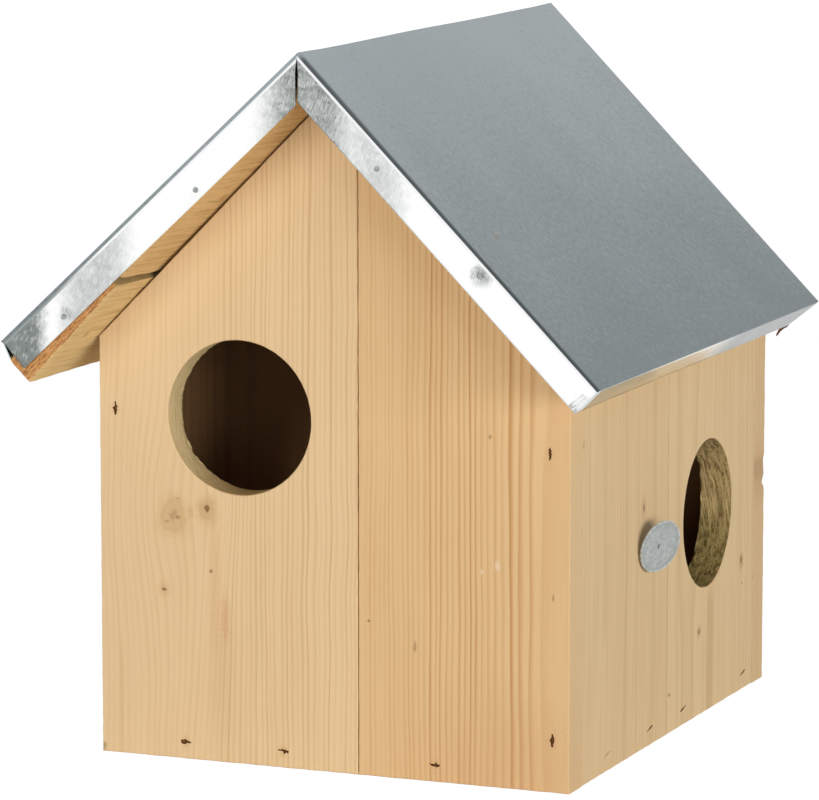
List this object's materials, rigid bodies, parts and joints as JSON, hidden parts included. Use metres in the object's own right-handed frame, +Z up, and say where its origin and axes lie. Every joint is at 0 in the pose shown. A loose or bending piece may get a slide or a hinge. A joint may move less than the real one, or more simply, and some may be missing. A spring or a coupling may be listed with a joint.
{
  "type": "squirrel house",
  "caption": "Gabled softwood nest house for squirrels with round entrances in front and side, a zinc sheet bent over its pitched roof and a loose round tag.",
  "frame": {"origin": "middle of the walls' footprint, on the underside of the floor", "axes": "+Z up; +Y from the front with its entrance to the back; +X to the side wall with the second entrance"},
  "size_m": [0.3259, 0.3576, 0.373],
  "materials": {
    "pine_pale": "planed, bare",
    "pine_banded": "planed, bare, strong bands",
    "pine_side": "planed, bare",
    "pine_inner": "planed, bare",
    "pine_rough": "rough sawn, bare",
    "zinc_sheet": "galvanised, mottled",
    "staple_wire": "bright wire, stained",
    "nail_zinc": "galvanised",
    "tag_metal": "pressed, dull"
  },
  "bodies": {
    "house": {"front_board_left": "pine_pale", "front_board_right": "pine_banded", "back_board_left": "pine_pale", "back_board_right": "pine_pale", "right_side_front_board": "pine_side", "right_side_back_board": "pine_side", "left_side_front_board": "pine_side", "left_side_back_board": "pine_side", "floor_front_board": "pine_inner", "floor_back_board": "pine_inner", "roof_left_upper_board": "pine_rough", "roof_left_lower_board": "pine_rough", "roof_right_upper_board": "pine_rough", "roof_right_lower_board": "pine_rough", "front_wall_staples": "staple_wire", "front_floor_staples": "staple_wire", "back_wall_staples": "staple_wire", "back_floor_staples": "staple_wire", "right_floor_staples": "staple_wire", "left_floor_staples": "staple_wire", "roof_right_staples": "staple_wire", "roof_left_staples": "staple_wire", "roof_sheet": "zinc_sheet", "sheet_nails": "nail_zinc", "tag_nail": "nail_zinc"},
    "tag": {"tag_disc": "tag_metal"}
  },
  "joints": [
    {"name": "tag_swivel", "type": "hinge", "parent": "house", "child": "tag", "pos_m": [0.13722, -0.0412, 0.1084], "axis": [0.8862, -0.3951, -0.242], "continuous": true}
  ]
}
